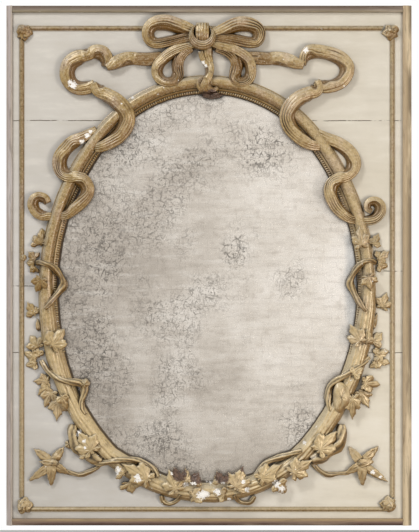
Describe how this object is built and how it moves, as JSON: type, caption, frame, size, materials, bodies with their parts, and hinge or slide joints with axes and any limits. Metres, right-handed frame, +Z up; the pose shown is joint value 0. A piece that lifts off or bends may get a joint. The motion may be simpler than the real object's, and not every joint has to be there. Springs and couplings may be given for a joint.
{
  "type": "trumeau mirror",
  "caption": "Tall painted overmantel panel with an oval mirror in a gilt moulding, carved with a ribbon bow, trailing ribbons and leafy sprays.",
  "frame": {"origin": "centre of the oval on the wall plane, in the middle of the back bar's rear face", "axes": "+Z up, +Y into the wall, -Y out of the glass towards the room, +X to the right seen from the room"},
  "size_m": [1.2202, 0.094, 1.5655],
  "materials": {
    "painted_wood": "flat worn cream-grey distemper on boards",
    "gilt_wood": "worn water gilding over gesso",
    "bare_wood": "bare aged softwood",
    "mirror_glass": "old foxed silvering",
    "iron": "forged, browned"
  },
  "bodies": {
    "root": {"outer_stile_left": "painted_wood", "outer_stile_right": "painted_wood", "outer_rail_top": "painted_wood", "outer_rail_bottom": "painted_wood", "panel_board_top": "painted_wood", "panel_board_upper_left": "painted_wood", "panel_board_upper_right": "painted_wood", "panel_board_middle_left": "painted_wood", "panel_board_middle_right": "painted_wood", "panel_board_bottom": "painted_wood", "inner_moulding_left": "gilt_wood", "inner_moulding_right": "gilt_wood", "inner_moulding_top": "gilt_wood", "inner_moulding_bottom": "gilt_wood", "oval_moulding_top": "gilt_wood", "oval_moulding_bottom": "gilt_wood", "oval_moulding_left": "gilt_wood", "oval_moulding_right": "gilt_wood", "sight_edge_top": "gilt_wood", "sight_edge_bottom": "gilt_wood", "sight_edge_left": "gilt_wood", "sight_edge_right": "gilt_wood", "corner_knot_top_left": "gilt_wood", "corner_knot_top_right": "gilt_wood", "corner_knot_bottom_left": "gilt_wood", "corner_knot_bottom_right": "gilt_wood", "bow_knot": "gilt_wood", "bow_drop": "gilt_wood", "bow_loop_upper_left": "gilt_wood", "bow_loop_upper_right": "gilt_wood", "bow_loop_lower_left": "gilt_wood", "bow_loop_lower_right": "gilt_wood", "ribbon_run_left": "gilt_wood", "ribbon_coil_left": "gilt_wood", "ribbon_tail_left": "gilt_wood", "ribbon_run_right": "gilt_wood", "ribbon_coil_right": "gilt_wood", "ribbon_tail_right": "gilt_wood", "vine_left_upper": "gilt_wood", "vine_left_lower": "gilt_wood", "vine_left_foot": "gilt_wood", "flower_spray_left": "gilt_wood", "leaves_foot_left": "gilt_wood", "leaves_foot_right": "gilt_wood", "vine_right_foot": "gilt_wood", "flower_spray_right": "gilt_wood", "vine_right_upper": "gilt_wood", "vine_right_lower": "gilt_wood", "glazing_blocks": "bare_wood", "back_bar": "bare_wood", "back_board_bottom": "bare_wood", "back_board_middle": "bare_wood", "back_board_top": "bare_wood", "back_batten_left": "bare_wood", "back_batten_right": "bare_wood", "mirror_glass": "mirror_glass", "hanging_plate_left": "iron", "hanging_plate_right": "iron"}
  },
  "joints": []
}
